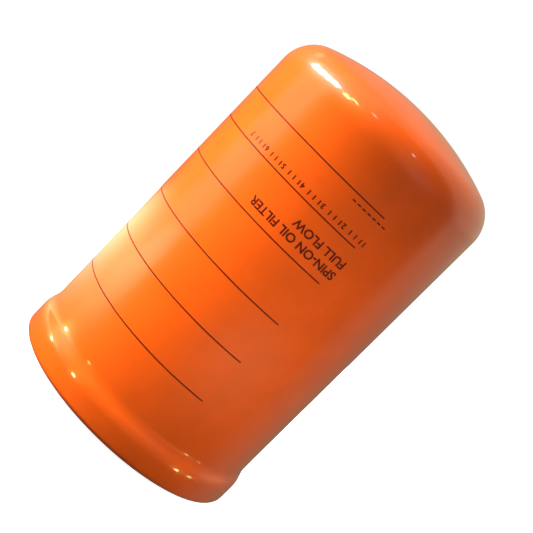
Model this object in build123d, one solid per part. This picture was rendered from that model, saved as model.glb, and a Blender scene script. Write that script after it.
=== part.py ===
from build123d import *
from math import asin, atan, cos, degrees, pi, radians, sin, sqrt
import os

# A spin-on oil filter, standing on its gasket with the closed dome up. Millimetres.
# +Z runs along the axis from the open end to the dome, and z = 0 is the face of the
# gasket that seals against the engine. Radii are called _r and heights _z.

# ---- driving dimensions ----------------------------------------------------------

# the drawn steel can
can_r = 46.4                 # outside of the plain wall
can_sheet = 0.8
knuckle_z = 132.9            # where the wall starts to turn in to the dome
knuckle_bend = 14.26         # outside radius of that turn
dish_bend = 107.5            # outside radius of the shallow dome
seam_r = 48.0                # outside of the rolled seam
seam_foot_z = 2.0
seam_top_z = 9.4             # the seam's straight band ends and the flare starts
flare_top_z = 17.8           # the flare has run out into the plain wall
curl_bend = 2.0              # outside radius of the roll at the seam's foot
lip_top_z = 6.1              # end of the rolled-in edge, inside the lid's hook

# the sheet steel lid that carries the gasket and closes the seam
lid_sheet = 0.8
lid_bend = 0.8               # bend radius on the middle of the sheet
channel_in_r = 31.0          # the gasket's channel
channel_out_r = 36.0
channel_roof_z = 5.2
lid_flat_z = 3.0             # underside of the flat ring outside the channel
hook_play = 0.05

# the gasket
gasket_play = 0.05
gasket_round = 0.6

# the threaded plate, tapped 1 inch 12 threads per inch
plate_r = 42.9
plate_z = channel_roof_z + lid_sheet
plate_thick = 5.0
neck_r = 15.5
neck_top_z = 18.0
thread_minor_r = 11.6
thread_lead_in = 1.0
inlet_count = 8
inlet_r = 4.0
inlet_pitch_r = 22.8

# the rubber valve that keeps the oil from draining back
cuff_in_r = 15.6
cuff_out_r = 17.8
cuff_flange_r = 24.0
cuff_flange_thick = 0.8
flap_in_r = 18.1
flap_out_r = 28.8
flap_thick = 1.2
flap_rise = 4.2              # height of the flap's inner edge over the plate
flap_land = 1.6              # width of the flat lip on the plate
flap_travel = 1.2

# the filter element
element_z = 19.0             # underside of its lower end cap
element_top_z = 126.0        # top of its upper end cap
cap_sheet = 0.8
cap_r = 41.2
cap_rim = 5.0                # height of the turned rim
cap_bend = 1.0
inlet_cap_hole_r = 14.5
dome_cap_hole_r = 13.0
potting_thick = 2.2
potting_in_r = 17.9
potting_out_r = 40.3
pleat_count = 48
pleat_in_r = 18.4
pleat_out_r = 39.2
paper_thick = 0.6
clip_reach = 5.0             # how far the seam clip covers its pleat
clip_sheet = 0.4
bead_count = 4
bead_thick = 0.8
bead_height = 2.4
tube_in_r = 17.0
tube_wall = 0.7
tube_hole_r = 3.0
tube_hole_rows = 10
tube_hole_columns = 9

# the bypass valve in the upper end cap
cage_r = 12.8
cage_sheet = 0.8
cage_flange_r = 16.0
cage_floor_z = 107.2
cage_window_width = 9.0
cage_window_height = 9.0
stem_hole_r = 3.0
seat_hole_r = 8.0
seat_thick = 2.8
poppet_r = 10.6
poppet_thick = 1.8
poppet_seal_thick = 0.8
stem_r = 2.8
stem_foot_z = 102.0
valve_gap = 0.05             # air between the seal and the seat, closed by the spring
bypass_wire = 1.2
bypass_coil_r = 7.0
bypass_turns = 4.6
poppet_travel = 3.5

# the spring that holds the element down
spring_seat_thick = 0.8
spring_seat_r = 23.4
spring_seat_rim = 3.0
support_wire = 2.4
support_coil_r = 20.0
support_turns = 4.2
element_travel = 2.0
running_gap = 0.1            # between round faces that fit one in the other

# ---- sizes that follow ------------------------------------------------------------

plate_top_z = plate_z + plate_thick
paper_z = element_z + cap_sheet + potting_thick
paper_top_z = element_top_z - cap_sheet - potting_thick
tube_z = element_z + cap_sheet
tube_top_z = element_top_z - cap_sheet

# the dome: a shallow dish and a knuckle that meet without a corner
knuckle_centre_r = can_r - knuckle_bend
dish_centre_z = knuckle_z - sqrt((dish_bend - knuckle_bend) ** 2 - knuckle_centre_r ** 2)
dish_half_angle = degrees(asin(knuckle_centre_r / (dish_bend - knuckle_bend)))

# the flare: two equal arcs that turn out and back again
flare_rise = flare_top_z - seam_top_z
flare_step = seam_r - can_r
flare_angle = degrees(2 * atan(flare_step / flare_rise))
flare_bend = flare_rise / (2 * sin(radians(flare_angle)))

poppet_seal_top_z = element_top_z + cage_sheet - seat_thick - valve_gap
poppet_top_z = poppet_seal_top_z - poppet_seal_thick
poppet_foot_z = poppet_top_z - poppet_thick
spring_foot_z = element_top_z + spring_seat_thick
spring_reach_r = support_coil_r + support_wire / 2
dome_inside_z = dish_centre_z + sqrt((dish_bend - can_sheet) ** 2 - spring_reach_r ** 2)
spring_top_z = dome_inside_z - running_gap


# ---- ways of making a piece ---------------------------------------------------------

def turned(lines):
    """Turn a closed outline, drawn as (radius, height), about the axis."""
    edges = [edge for line in lines for edge in line.edges()]
    return revolve(Plane.XZ * make_face(edges), Axis.Z)


def ring(in_r, out_r, foot_z, top_z):
    """A plain ring with square edges."""
    height = top_z - foot_z
    both = (Align.CENTER, Align.CENTER, Align.MIN)
    return Pos(0, 0, foot_z) * (Cylinder(out_r, height, align=both) - Cylinder(in_r, height, align=both))


def pressed(points, thickness, bend):
    """A round sheet metal pressing, from the middle line of its section."""
    middle = FilletPolyline(*points, radius=bend)
    section = make_face(offset(middle, thickness / 2, side=Side.BOTH).edges())
    return revolve(Plane.XZ * section, Axis.Z)


def around(count, radius, shape):
    """Copies of a shape on a circle about the axis."""
    return [Rot(0, 0, 360 * i / count) * Pos(radius, 0, 0) * shape for i in range(count)]


def coil(mean_r, wire, turns, foot_z, top_z):
    """A compression spring with flat ground ends."""
    height = top_z - foot_z
    path = Helix(pitch=height / turns, height=height, radius=mean_r)
    wound = sweep(Plane(path @ 0, z_dir=path % 0) * Circle(wire / 2), path)
    slab = Box(3 * mean_r, 3 * mean_r, height, align=(Align.CENTER, Align.CENTER, Align.MIN))
    return Pos(0, 0, foot_z) * (wound & slab)


def polar(radius, angle):
    """The point at a radius and an angle in degrees."""
    return (radius * cos(radians(angle)), radius * sin(radians(angle)))


# ---- the can, its lid and its seals ----------------------------------------------------

def can_face(inset):
    """One face of the can's sheet, from the dome's top to the end of the rolled-in lip."""
    wall = can_r - inset
    band = seam_r - inset
    curl_r = seam_r - curl_bend
    curl_z = seam_foot_z + curl_bend
    lip = curl_r - curl_bend + inset
    return [
        CenterArc((0, dish_centre_z), dish_bend - inset, 90 - dish_half_angle, dish_half_angle),
        CenterArc((knuckle_centre_r, knuckle_z), knuckle_bend - inset, 0, 90 - dish_half_angle),
        Line((wall, knuckle_z), (wall, flare_top_z)),
        CenterArc((can_r + flare_bend, flare_top_z), flare_bend + inset, 180, flare_angle),
        CenterArc((seam_r - flare_bend, seam_top_z), flare_bend - inset, 0, flare_angle),
        Line((band, seam_top_z), (band, curl_z)),
        CenterArc((curl_r, curl_z), curl_bend - inset, 180, 180),
        Line((lip, curl_z), (lip, lip_top_z)),
    ]


def make_can_shell():
    apex_z = dish_centre_z + dish_bend
    lip_r = seam_r - 2 * curl_bend
    ends = [
        Line((0, apex_z), (0, apex_z - can_sheet)),
        Line((lip_r, lip_top_z), (lip_r + can_sheet, lip_top_z)),
    ]
    return turned(can_face(0) + can_face(can_sheet) + ends)


def make_seam_lid():
    half = lid_sheet / 2
    lip_in_r = seam_r - 2 * curl_bend
    roof = channel_roof_z + half
    flat = lid_flat_z + half
    wall = lip_in_r - hook_play - half
    hook = lip_in_r + can_sheet + hook_play + half
    over = lip_top_z + 2 * half + hook_play
    points = [
        (channel_in_r - half, lid_flat_z),
        (channel_in_r - half, roof),
        (channel_out_r + half, roof),
        (channel_out_r + half, flat),
        (wall, flat),
        (wall, over),
        (hook, over),
        (hook, seam_foot_z + 2 * curl_bend - half),
    ]
    return pressed(points, lid_sheet, lid_bend)


def make_seam_sealant():
    hook_out_r = seam_r - 2 * curl_bend + can_sheet + 2 * hook_play + lid_sheet
    foot = seam_foot_z + curl_bend
    return ring(hook_out_r, seam_r - can_sheet - running_gap, foot + running_gap, lip_top_z)


def make_mounting_gasket():
    body = ring(channel_in_r + gasket_play, channel_out_r - gasket_play, 0, channel_roof_z)
    return fillet(body.edges().filter_by(GeomType.CIRCLE), gasket_round)


def make_thread_plate():
    neck_root = 1.0
    lines = [
        Polyline(
            (thread_minor_r + thread_lead_in, plate_z),
            (plate_r, plate_z),
            (plate_r, plate_top_z),
            (neck_r + neck_root, plate_top_z),
            (neck_r, plate_top_z + neck_root),
            (neck_r, neck_top_z),
            (thread_minor_r + thread_lead_in / 2, neck_top_z),
            (thread_minor_r, neck_top_z - thread_lead_in / 2),
            (thread_minor_r, plate_z + thread_lead_in),
            (thread_minor_r + thread_lead_in, plate_z),
        )
    ]
    plate = turned(lines)
    hole = Pos(0, 0, plate_z + plate_thick / 2) * Cylinder(inlet_r, 2 * plate_thick)
    plate -= around(inlet_count, inlet_pitch_r, hole)
    rims = plate.edges().filter_by(GeomType.CIRCLE).filter_by(lambda e: abs(e.radius - inlet_r) < 0.01)
    return chamfer(rims, 0.4)


def make_drainback_cuff():
    cuff_z = plate_top_z + 1.0 + running_gap
    boot = ring(cuff_in_r, cuff_out_r, cuff_z, element_z)
    return boot + ring(cuff_in_r, cuff_flange_r, element_z - cuff_flange_thick, element_z)


def make_drainback_flap():
    land_in_r = flap_out_r - flap_land
    foot = plate_top_z + valve_gap
    outline = Polyline(
        (flap_in_r, foot + flap_rise),
        (land_in_r, foot),
        (flap_out_r, foot),
        (flap_out_r, foot + flap_thick),
        (land_in_r, foot + flap_thick),
        (flap_in_r, foot + flap_rise + flap_thick),
        (flap_in_r, foot + flap_rise),
    )
    return turned([outline])


# ---- the filter element --------------------------------------------------------------------

def make_end_cap(hole_r, flat_z, rim_z):
    """A pressed end cap: a flat with a turned rim, the rim ending at rim_z."""
    half = cap_sheet / 2
    up = half if rim_z > flat_z else -half
    points = [(hole_r + half, flat_z + up), (cap_r - half, flat_z + up), (cap_r - half, rim_z)]
    return pressed(points, cap_sheet, cap_bend)


def make_inlet_end_cap():
    return make_end_cap(inlet_cap_hole_r, element_z, element_z + cap_rim)


def make_dome_end_cap():
    return make_end_cap(dome_cap_hole_r, element_top_z, element_top_z - cap_rim)


def make_inlet_potting():
    return ring(potting_in_r, potting_out_r - cap_bend, element_z + cap_sheet, paper_z)


def make_dome_potting():
    return ring(potting_in_r, potting_out_r - cap_bend, paper_top_z, element_top_z - cap_sheet)


def pleat_outline(fold_out_r, fold_in_r, side):
    """One face of the folded paper; side is +1 for its outer face and -1 for its inner face."""
    step = 180 / pleat_count
    points = []
    for i in range(pleat_count):
        start = 2 * i * step
        for fold_r, angle, way in (
            (fold_out_r, start, -side),
            (fold_out_r, start + step, side),
            (fold_in_r, start + step, side),
            (fold_in_r, start + 2 * step, -side),
        ):
            points.append(polar(fold_r, angle + way * degrees(paper_thick / 2 / fold_r)))
    return Polygon(*points, align=None)


def make_pleated_media():
    outside = pleat_outline(pleat_out_r, pleat_in_r + paper_thick, 1)
    inside = pleat_outline(pleat_out_r - paper_thick, pleat_in_r, -1)
    return extrude(Pos(0, 0, paper_z) * (outside - inside), paper_top_z - paper_z)


def clip_block(half_width, in_r, out_r):
    """A block over the first pleat, whose middle is half a pleat step round from +X."""
    width = 2 * half_width
    height = paper_top_z - paper_z - 2 * cap_rim
    middle = Rot(0, 0, 90 / pleat_count) * Pos((in_r + out_r) / 2, 0, (paper_z + paper_top_z) / 2)
    return middle * Box(out_r - in_r, width, height)


def clip_half_width():
    """Half the outside width of a pleat at its outer fold, with play."""
    return pleat_out_r * radians(90 / pleat_count) + paper_thick / 2 + running_gap


def make_media_seam_clip():
    half = clip_half_width()
    in_r = pleat_out_r - clip_reach
    outside = clip_block(half + clip_sheet, in_r, pleat_out_r + running_gap + clip_sheet)
    return outside - clip_block(half, in_r - 1, pleat_out_r + running_gap)


def make_pleat_beads():
    in_r = pleat_out_r + running_gap
    spacing = (paper_top_z - paper_z) / (bead_count + 1)
    room = clip_block(clip_half_width() + 2 * clip_sheet, pleat_out_r - 1, cap_r)
    beads = []
    for i in range(bead_count):
        middle_z = paper_z + (i + 1) * spacing
        bead = ring(in_r, in_r + bead_thick, middle_z - bead_height / 2, middle_z + bead_height / 2)
        beads.append(bead - room)
    return Compound(beads)


def make_centre_tube():
    tube = ring(tube_in_r, tube_in_r + tube_wall, tube_z, tube_top_z)
    spacing = (tube_top_z - tube_z) / (tube_hole_rows + 1)
    drill = Rot(0, 90, 0) * Cylinder(tube_hole_r, 3 * tube_wall)
    for row in range(tube_hole_rows):
        turn = 180 / tube_hole_columns * (row % 2)
        holes = around(tube_hole_columns, tube_in_r + tube_wall / 2, drill)
        place = Pos(0, 0, tube_z + (row + 1) * spacing) * Rot(0, 0, turn)
        tube -= [place * hole for hole in holes]
    return tube


# ---- the bypass valve ------------------------------------------------------------------------

def make_bypass_cage():
    half = cage_sheet / 2
    points = [
        (stem_hole_r + half, cage_floor_z + half),
        (cage_r - half, cage_floor_z + half),
        (cage_r - half, element_top_z + half),
        (cage_flange_r, element_top_z + half),
    ]
    cage = pressed(points, cage_sheet, cap_bend)
    window_z = cage_floor_z + 2 * cap_bend + cage_window_height / 2
    window = Box(4 * cage_sheet, cage_window_width, cage_window_height)
    return cage - [Pos(0, 0, window_z) * hole for hole in around(4, cage_r - half, window)]


def make_bypass_seat():
    top = element_top_z + cage_sheet
    return ring(seat_hole_r, cage_r - cage_sheet - running_gap, top - seat_thick, top)


def make_bypass_poppet():
    outline = Polyline(
        (0, poppet_top_z),
        (poppet_r, poppet_top_z),
        (poppet_r, poppet_foot_z),
        (stem_r, poppet_foot_z),
        (stem_r, stem_foot_z + 1),
        (stem_r - 1, stem_foot_z),
        (0, stem_foot_z),
        (0, poppet_top_z),
    )
    return turned([outline])


def make_bypass_poppet_seal():
    return ring(seat_hole_r - 1, poppet_r - 0.2, poppet_top_z, poppet_seal_top_z)


def make_bypass_spring():
    foot = cage_floor_z + cage_sheet + running_gap
    return coil(bypass_coil_r, bypass_wire, bypass_turns, foot, poppet_foot_z - running_gap)


# ---- the support spring ------------------------------------------------------------------------

def make_spring_seat():
    half = spring_seat_thick / 2
    in_r = cage_flange_r + half + running_gap
    points = [
        (in_r + half, element_top_z + half),
        (spring_seat_r - half, element_top_z + half),
        (spring_seat_r - half, element_top_z + spring_seat_rim),
    ]
    return pressed(points, spring_seat_thick, spring_seat_thick)


def make_support_spring():
    return coil(support_coil_r, support_wire, support_turns, spring_foot_z + running_gap, spring_top_z)


pieces = {
    "can_shell": make_can_shell,
    "seam_lid": make_seam_lid,
    "seam_sealant": make_seam_sealant,
    "mounting_gasket": make_mounting_gasket,
    "thread_plate": make_thread_plate,
    "drainback_cuff": make_drainback_cuff,
    "drainback_flap": make_drainback_flap,
    "inlet_end_cap": make_inlet_end_cap,
    "dome_end_cap": make_dome_end_cap,
    "inlet_potting": make_inlet_potting,
    "dome_potting": make_dome_potting,
    "pleated_media": make_pleated_media,
    "media_seam_clip": make_media_seam_clip,
    "pleat_beads": make_pleat_beads,
    "centre_tube": make_centre_tube,
    "bypass_cage": make_bypass_cage,
    "bypass_seat": make_bypass_seat,
    "bypass_poppet": make_bypass_poppet,
    "bypass_poppet_seal": make_bypass_poppet_seal,
    "bypass_spring": make_bypass_spring,
    "spring_seat": make_spring_seat,
    "support_spring": make_support_spring,
}

os.makedirs("parts", exist_ok=True)
for name, make in pieces.items():
    export_step(make(), f"parts/{name}.step")
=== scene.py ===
from math import asin, atan, atan2, cos, degrees, hypot, pi, radians, sin, sqrt

import bmesh
import bpy
from bpy.props import (
    FloatProperty,
    FloatVectorProperty,
    IntProperty,
    PointerProperty,
    StringProperty,
)
from mathutils import Matrix, Vector


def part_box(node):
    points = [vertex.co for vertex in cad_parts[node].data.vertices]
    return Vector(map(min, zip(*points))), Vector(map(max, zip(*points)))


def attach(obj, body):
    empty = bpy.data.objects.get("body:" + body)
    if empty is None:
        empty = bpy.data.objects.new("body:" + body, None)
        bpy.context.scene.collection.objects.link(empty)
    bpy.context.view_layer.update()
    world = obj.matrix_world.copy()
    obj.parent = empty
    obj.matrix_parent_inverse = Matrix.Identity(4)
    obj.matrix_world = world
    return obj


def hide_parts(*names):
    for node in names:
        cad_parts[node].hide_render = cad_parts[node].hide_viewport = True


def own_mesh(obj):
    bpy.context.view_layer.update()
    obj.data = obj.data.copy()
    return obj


bl_info = {
    "name": "Spin-on oil filter",
    "version": (1, 0, 0),
    "blender": (4, 5, 0),
    "location": "View3D > Sidebar > Oil filter",
    "description": "Builds the looks of a spin-on oil filter around its CAD frame",
    "category": "Add Mesh",
}

# Metres, in the frame of the CAD model: the filter stands on its gasket at z = 0,
# +Z runs along its axis to the closed dome, and the printing faces -Y.

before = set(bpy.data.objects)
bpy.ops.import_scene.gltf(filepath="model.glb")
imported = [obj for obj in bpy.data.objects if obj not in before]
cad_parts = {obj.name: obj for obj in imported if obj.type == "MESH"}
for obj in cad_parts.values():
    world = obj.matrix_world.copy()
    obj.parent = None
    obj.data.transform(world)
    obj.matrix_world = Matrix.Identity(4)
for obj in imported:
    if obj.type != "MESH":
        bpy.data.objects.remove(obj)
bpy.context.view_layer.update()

MM = 0.001
can_low, can_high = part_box("can_shell")
plate_low, plate_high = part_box("thread_plate")
gasket_low, gasket_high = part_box("mounting_gasket")
lid_low, lid_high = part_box("seam_lid")
cuff_low, cuff_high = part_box("drainback_cuff")
flap_low, flap_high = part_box("drainback_flap")
media_low, media_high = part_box("pleated_media")
clip_low, clip_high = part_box("media_seam_clip")
tube_low, tube_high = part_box("centre_tube")


def linear(code):
    """The linear colour of an sRGB hex code such as #ff8000."""
    shares = [int(code[i:i + 2], 16) / 255 for i in (1, 3, 5)]
    return tuple(s / 12.92 if s <= 0.04045 else ((s + 0.055) / 1.055) ** 2.4 for s in shares)


# ---- settings ---------------------------------------------------------------------------


def length(name, description, default):
    return FloatProperty(name=name, description=description, default=default, unit="LENGTH", precision=5)


def number(name, description, default):
    return FloatProperty(name=name, description=description, default=default)


def count(name, description, default, least=1):
    return IntProperty(name=name, description=description, default=default, min=least)


def words(name, description, default):
    return StringProperty(name=name, description=description, default=default)


def turn(name, description, default):
    return FloatProperty(name=name, description=description, default=radians(default), subtype="ANGLE")


def colour(name, description, code):
    return FloatVectorProperty(
        name=name, description=description, default=linear(code), subtype="COLOR", size=3, min=0, max=1
    )


class CanSettings(bpy.types.PropertyGroup):
    wall_radius: length("Wall radius", "Outside of the plain wall", 46.4 * MM)
    sheet: length("Sheet", "Thickness of the drawn steel", 0.8 * MM)
    knuckle_height: length("Knuckle height", "Where the wall turns in to the dome", 132.9 * MM)
    knuckle_bend: length("Knuckle bend", "Outside radius of that turn", 14.26 * MM)
    dish_bend: length("Dish bend", "Outside radius of the shallow dome", 107.5 * MM)
    seam_radius: length("Seam radius", "Outside of the rolled seam", 48.0 * MM)
    seam_top: length("Seam top", "Where the straight band ends", 9.4 * MM)
    flare_top: length("Flare top", "Where the flare has run out", 17.8 * MM)
    curl_bend: length("Curl bend", "Outside radius of the roll at the foot", 2.0 * MM)
    lip_top: length("Lip top", "End of the rolled-in edge", 6.1 * MM)
    segments: count("Segments", "Faces round the can", 256, 32)
    paint: colour("Paint", "Colour of the stoved enamel", "#ea590e")


class PrintSettings(bpy.types.PropertyGroup):
    heights: FloatVectorProperty(
        name="Line heights",
        description="Heights of the printed lines over the gasket face",
        size=6,
        unit="LENGTH",
        default=[z * MM for z in (35.1, 53.25, 70.9, 89.8, 106.0, 119.2)],
    )
    line_width: length("Line width", "Width of a printed line", 0.45 * MM)
    line_end: turn("Line end", "Where all the lines end, from the front towards +X", 21.0)
    line_sweep: turn("Line sweep", "How far the lines run round the can", 170.0)
    ink_film: length("Ink film", "Height of the ink over the paint", 0.03 * MM)
    text_start: turn("Text start", "Where the lettering starts, from the front towards +X", 23.5)
    bold: length("Bold", "How much the strokes are widened to each side", 0.1 * MM)
    capitals: length("Capitals", "Height of the capitals", 2.9 * MM)
    large_height: length("Upper row height", "Foot of the upper row of lettering", 95.7 * MM)
    middle_height: length("Lower row height", "Foot of the lower row of lettering", 100.5 * MM)
    index_height: length("Index height", "Foot of the index numbers", 109.5 * MM)
    dash_height: length("Dash height", "Middle of the row of short dashes", 116.8 * MM)
    mark_count: count("Marks", "Index marks and numbers in the row", 25, 2)
    mark_group: count("Group", "Marks from one number to the next", 4)
    mark_spacing: length("Mark spacing", "From one index mark to the next", 2.3 * MM)
    mark_height: length("Mark height", "Height of an index mark or number", 1.8 * MM)
    mark_stroke: length("Mark stroke", "Width of an index mark before it is made bold", 0.3 * MM)
    dash_count: count("Dashes", "Short dashes in their row", 7)
    dash_spacing: length("Dash spacing", "From one short dash to the next", 2.2 * MM)
    dash_length: length("Dash length", "Length of a short dash", 1.4 * MM)
    dash_stroke: length("Dash stroke", "Width of a short dash", 0.5 * MM)
    large_text: words("Large text", "Upper row", "SPIN-ON OIL FILTER")
    middle_text: words("Middle text", "Lower row", "FULL FLOW")
    ink: colour("Ink", "Colour of the printing", "#4c100b")


class BaseSettings(bpy.types.PropertyGroup):
    lid_sheet: length("Lid sheet", "Thickness of the lid's steel", 0.8 * MM)
    lid_bend: length("Lid bend", "Bend radius of the lid", 0.8 * MM)
    thread_major: length("Thread major radius", "Root of the internal thread", 12.7 * MM)
    thread_minor: length("Thread minor radius", "Crest of the internal thread", 11.6 * MM)
    thread_pitch: length("Thread pitch", "12 threads per inch", 25.4 * MM / 12)
    neck_radius: length("Neck radius", "Outside of the tapped neck", 15.5 * MM)
    plate_thickness: length("Plate thickness", "Thickness of the plate", 5.0 * MM)
    inlet_pitch_radius: length("Inlet pitch radius", "Circle of the oil inlets", 22.8 * MM)
    inlet_radius: length("Inlet radius", "Radius of an oil inlet", 4.0 * MM)
    inlet_count: count("Inlets", "Number of oil inlets", 8, 3)
    inlet_edge: length("Inlet edge", "Bevel round an oil inlet", 0.3 * MM)
    plate_edge: length("Plate edge", "Chamfer round the plate", 0.5 * MM)
    neck_edge: length("Neck edge", "Chamfer round the neck", 0.4 * MM)
    thread_lead: length("Thread lead-in", "Chamfer at each end of the thread", 1.0 * MM)
    hook_play: length("Hook play", "Play between the lid and what it holds", 0.05 * MM)
    gasket_round: length("Gasket edge", "Radius of the gasket's edges", 0.6 * MM)
    sealant_width: length("Sealant width", "Width of the compound in the seam", 1.35 * MM)
    sealant_round: length("Sealant edge", "Radius of the compound's edges", 0.3 * MM)


class ValveSettings(bpy.types.PropertyGroup):
    cuff_inside: length("Cuff inside", "Radius of the cuff's bore", 15.6 * MM)
    cuff_outside: length("Cuff outside", "Outside radius of the cuff", 17.8 * MM)
    cuff_round: length("Cuff edge", "Radius of the cuff's edges", 0.35 * MM)
    flange: length("Flange", "Thickness of the cuff's flange", 0.8 * MM)
    lip_gap: length("Lip gap", "Between the cuff and the lip", 0.3 * MM)
    lip_land: length("Lip land", "Width of the lip that lies on the plate", 1.6 * MM)
    lip_thickness: length("Lip thickness", "Thickness of the lip", 1.2 * MM)
    lip_round: length("Lip edge", "Radius of the lip's edges", 0.3 * MM)


class ElementSettings(bpy.types.PropertyGroup):
    pleats: count("Pleats", "Number of folds", 48, 12)
    paper: length("Paper", "Thickness of the filter paper", 0.6 * MM)
    pleat_inside: length("Pleat inside", "Radius that the folds reach inwards to", 18.4 * MM)
    inner_fold: length("Inner fold", "Radius of a fold beside the tube", 0.45 * MM)
    outer_fold: length("Outer fold", "Radius of a fold at the outside", 1.0 * MM)
    tube_wall: length("Tube wall", "Thickness of the perforated tube", 0.7 * MM)
    tube_rows: count("Tube rows", "Rows of holes in the tube", 10, 2)
    tube_columns: count("Tube columns", "Holes in a row", 9, 3)
    tube_hole: length("Tube hole", "Radius of a hole in the tube", 3.0 * MM)
    support_turns: number("Support turns", "Turns of the support spring", 4.2)
    support_wire: length("Support wire", "Wire of the support spring", 2.4 * MM)
    bypass_turns: number("Bypass turns", "Turns of the bypass spring", 4.6)
    bypass_wire: length("Bypass wire", "Wire of the bypass spring", 1.2 * MM)
    dead_turns: number("Dead turns", "Flat part at each end of a spring", 0.6)


class StudioSettings(bpy.types.PropertyGroup):
    camera_distance: length("Camera distance", "From the filter's axis", 415.9 * MM)
    camera_side: length("Camera side", "From the filter's axis towards +X", 0.6 * MM)
    camera_height: length("Camera height", "Over the gasket face", 136.6 * MM)
    camera_dip: turn("Camera dip", "How far the camera looks down", 8.37)
    camera_roll: turn("Camera roll", "How far the camera is rolled", 44.55)
    camera_lens: number("Lens", "Focal length in millimetres", 79.0)
    floor_colour: colour("Floor", "Colour of the floor", "#f6f6f4")
    floor_radius: length("Floor radius", "How far the floor reaches", 0.45)
    front_surround: number("Front surround", "Light from in front", 0.06)
    left_surround: number("Left surround", "Light from behind left", 0.16)
    right_surround: number("Right surround", "Light from behind right", 0.7)
    low_share: number("Low share", "Surround under the horizon", 0.4)
    warm_white: words("Warm white", "sRGB code of daylight", "#ffe7be")
    soft_white: words("Soft white", "sRGB code of the right side", "#ffedcc")
    yellow_white: words("Yellow white", "sRGB code of lamps", "#ffeb96")
    key_power: number("Key", "Power of the key light in watts", 24.0)
    fill_power: number("Fill", "Power of the fill light in watts", 2.3)


# ---- meshes -----------------------------------------------------------------------------


def add(tree, kind, inputs=None, **settings):
    """Add a node. Each input is a constant, or the socket or node, by its first output, that feeds it."""
    node = tree.nodes.new(kind)
    for name, value in settings.items():
        setattr(node, name, value)
    for key, value in (inputs or {}).items():
        if isinstance(value, bpy.types.Node):
            value = value.outputs[0]
        if isinstance(value, bpy.types.NodeSocket):
            tree.links.new(value, node.inputs[key])
        else:
            node.inputs[key].default_value = value
    return node


def new_tree(name, **kinds):
    """A geometry tree given geometry, a material and the inputs named for each kind of socket."""
    tree = bpy.data.node_groups.new(name, "GeometryNodeTree")
    for kind, labels in {"Geometry": ["Geometry"], **kinds, "Material": ["Material"]}.items():
        for label in labels:
            tree.interface.new_socket(label, in_out="INPUT", socket_type=f"NodeSocket{kind}")
    tree.interface.new_socket("Geometry", in_out="OUTPUT", socket_type="NodeSocketGeometry")
    return tree, tree.nodes.new("NodeGroupInput").outputs


def end_tree(tree, geometry, material):
    """Close a tree: its instances are realized and get their material."""
    real = add(tree, "GeometryNodeRealizeInstances", {"Geometry": geometry})
    painted = add(tree, "GeometryNodeSetMaterial", {"Geometry": real, "Material": material})
    add(tree, "NodeGroupOutput", {"Geometry": painted})
    return tree


def grown(name, tree, sizes, start=None):
    """Run a tree on a mesh and keep what it makes as a plain mesh object."""
    piece = bpy.data.objects.new(name, start or bpy.data.meshes.new(name))
    bpy.context.scene.collection.objects.link(piece)
    modifier = piece.modifiers.new(name, "NODES")
    modifier.node_group = tree
    for socket in tree.interface.items_tree:
        if socket.in_out == "INPUT" and socket.name in sizes:
            modifier[socket.identifier] = sizes[socket.name]
    evaluated = piece.evaluated_get(bpy.context.evaluated_depsgraph_get())
    mesh = bpy.data.meshes.new_from_object(evaluated)
    piece.modifiers.remove(modifier)
    piece.data = mesh
    mesh.name = name
    return piece


def tidied(piece, merge=0.001 * MM, sharp=35.0):
    """Merge doubles, turn the faces outwards and shade smooth up to the sharp edges."""
    work = bmesh.new()
    work.from_mesh(piece.data)
    bmesh.ops.remove_doubles(work, verts=work.verts, dist=merge)
    bmesh.ops.dissolve_degenerate(work, edges=work.edges, dist=merge)
    bmesh.ops.recalc_face_normals(work, faces=work.faces)
    work.to_mesh(piece.data)
    work.free()
    piece.data.shade_smooth()
    piece.data.set_sharp_from_angle(angle=radians(sharp))
    return piece


def applied(piece):
    """Replace a piece's mesh by what its modifiers make of it."""
    evaluated = piece.evaluated_get(bpy.context.evaluated_depsgraph_get())
    mesh = bpy.data.meshes.new_from_object(evaluated)
    piece.modifiers.clear()
    piece.data = mesh
    mesh.set_sharp_from_angle(angle=radians(35))
    return piece


def joined(piece, *others):
    """Add the meshes of others to a piece and remove them."""
    work = bmesh.new()
    for each in (piece, *others):
        work.from_mesh(each.data)
    work.to_mesh(piece.data)
    work.free()
    for other in others:
        bpy.data.objects.remove(other)
    return piece


def arc(centre, radius, start, sweep, steps):
    """Points along an arc in the (radius, height) plane; angles in degrees from the outward direction."""
    angles = [radians(start + sweep * i / steps) for i in range(steps + 1)]
    return [(centre[0] + radius * cos(a), centre[1] + radius * sin(a)) for a in angles]


def bent(points, bend, steps=5):
    """A path of (radius, height) points with rounded corners; each point comes with its normal."""
    corners = [Vector(p) for p in points]
    path = []
    for before, corner, after in zip(corners, corners[1:], corners[2:]):
        way_in, way_out = (corner - before).normalized(), (after - corner).normalized()
        cross = way_in.x * way_out.y - way_in.y * way_out.x
        half = way_in.angle(way_out) / 2
        side = 1 if cross > 0 else -1
        start = corner - way_in * bend * (sin(half) / cos(half))
        centre = start + Vector((-way_in.y, way_in.x)) * bend * side
        for i in range(steps + 1):
            spoke = Matrix.Rotation(side * 2 * half * i / steps, 2) @ (start - centre)
            path.append((centre + spoke, spoke.normalized() * -side))
    first, last = (corners[1] - corners[0]).normalized(), (corners[-1] - corners[-2]).normalized()
    path.insert(0, (corners[0], Vector((-first.y, first.x))))
    path.append((corners[-1], Vector((-last.y, last.x))))
    return path


def sheet_outline(points, thickness, bend):
    """The closed outline of bent sheet metal, from the middle line of its section."""
    path = bent(points, bend)
    near = [tuple(p + n * thickness / 2) for p, n in path]
    far = [tuple(p - n * thickness / 2) for p, n in path]
    return near + far[::-1]


def rounded(points, bend, steps=4):
    """A closed outline with every corner rounded."""
    wrapped = [points[-1], *points, points[0]]
    return [tuple(p) for p, _ in bent(wrapped, bend, steps)[1:-1]]


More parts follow.
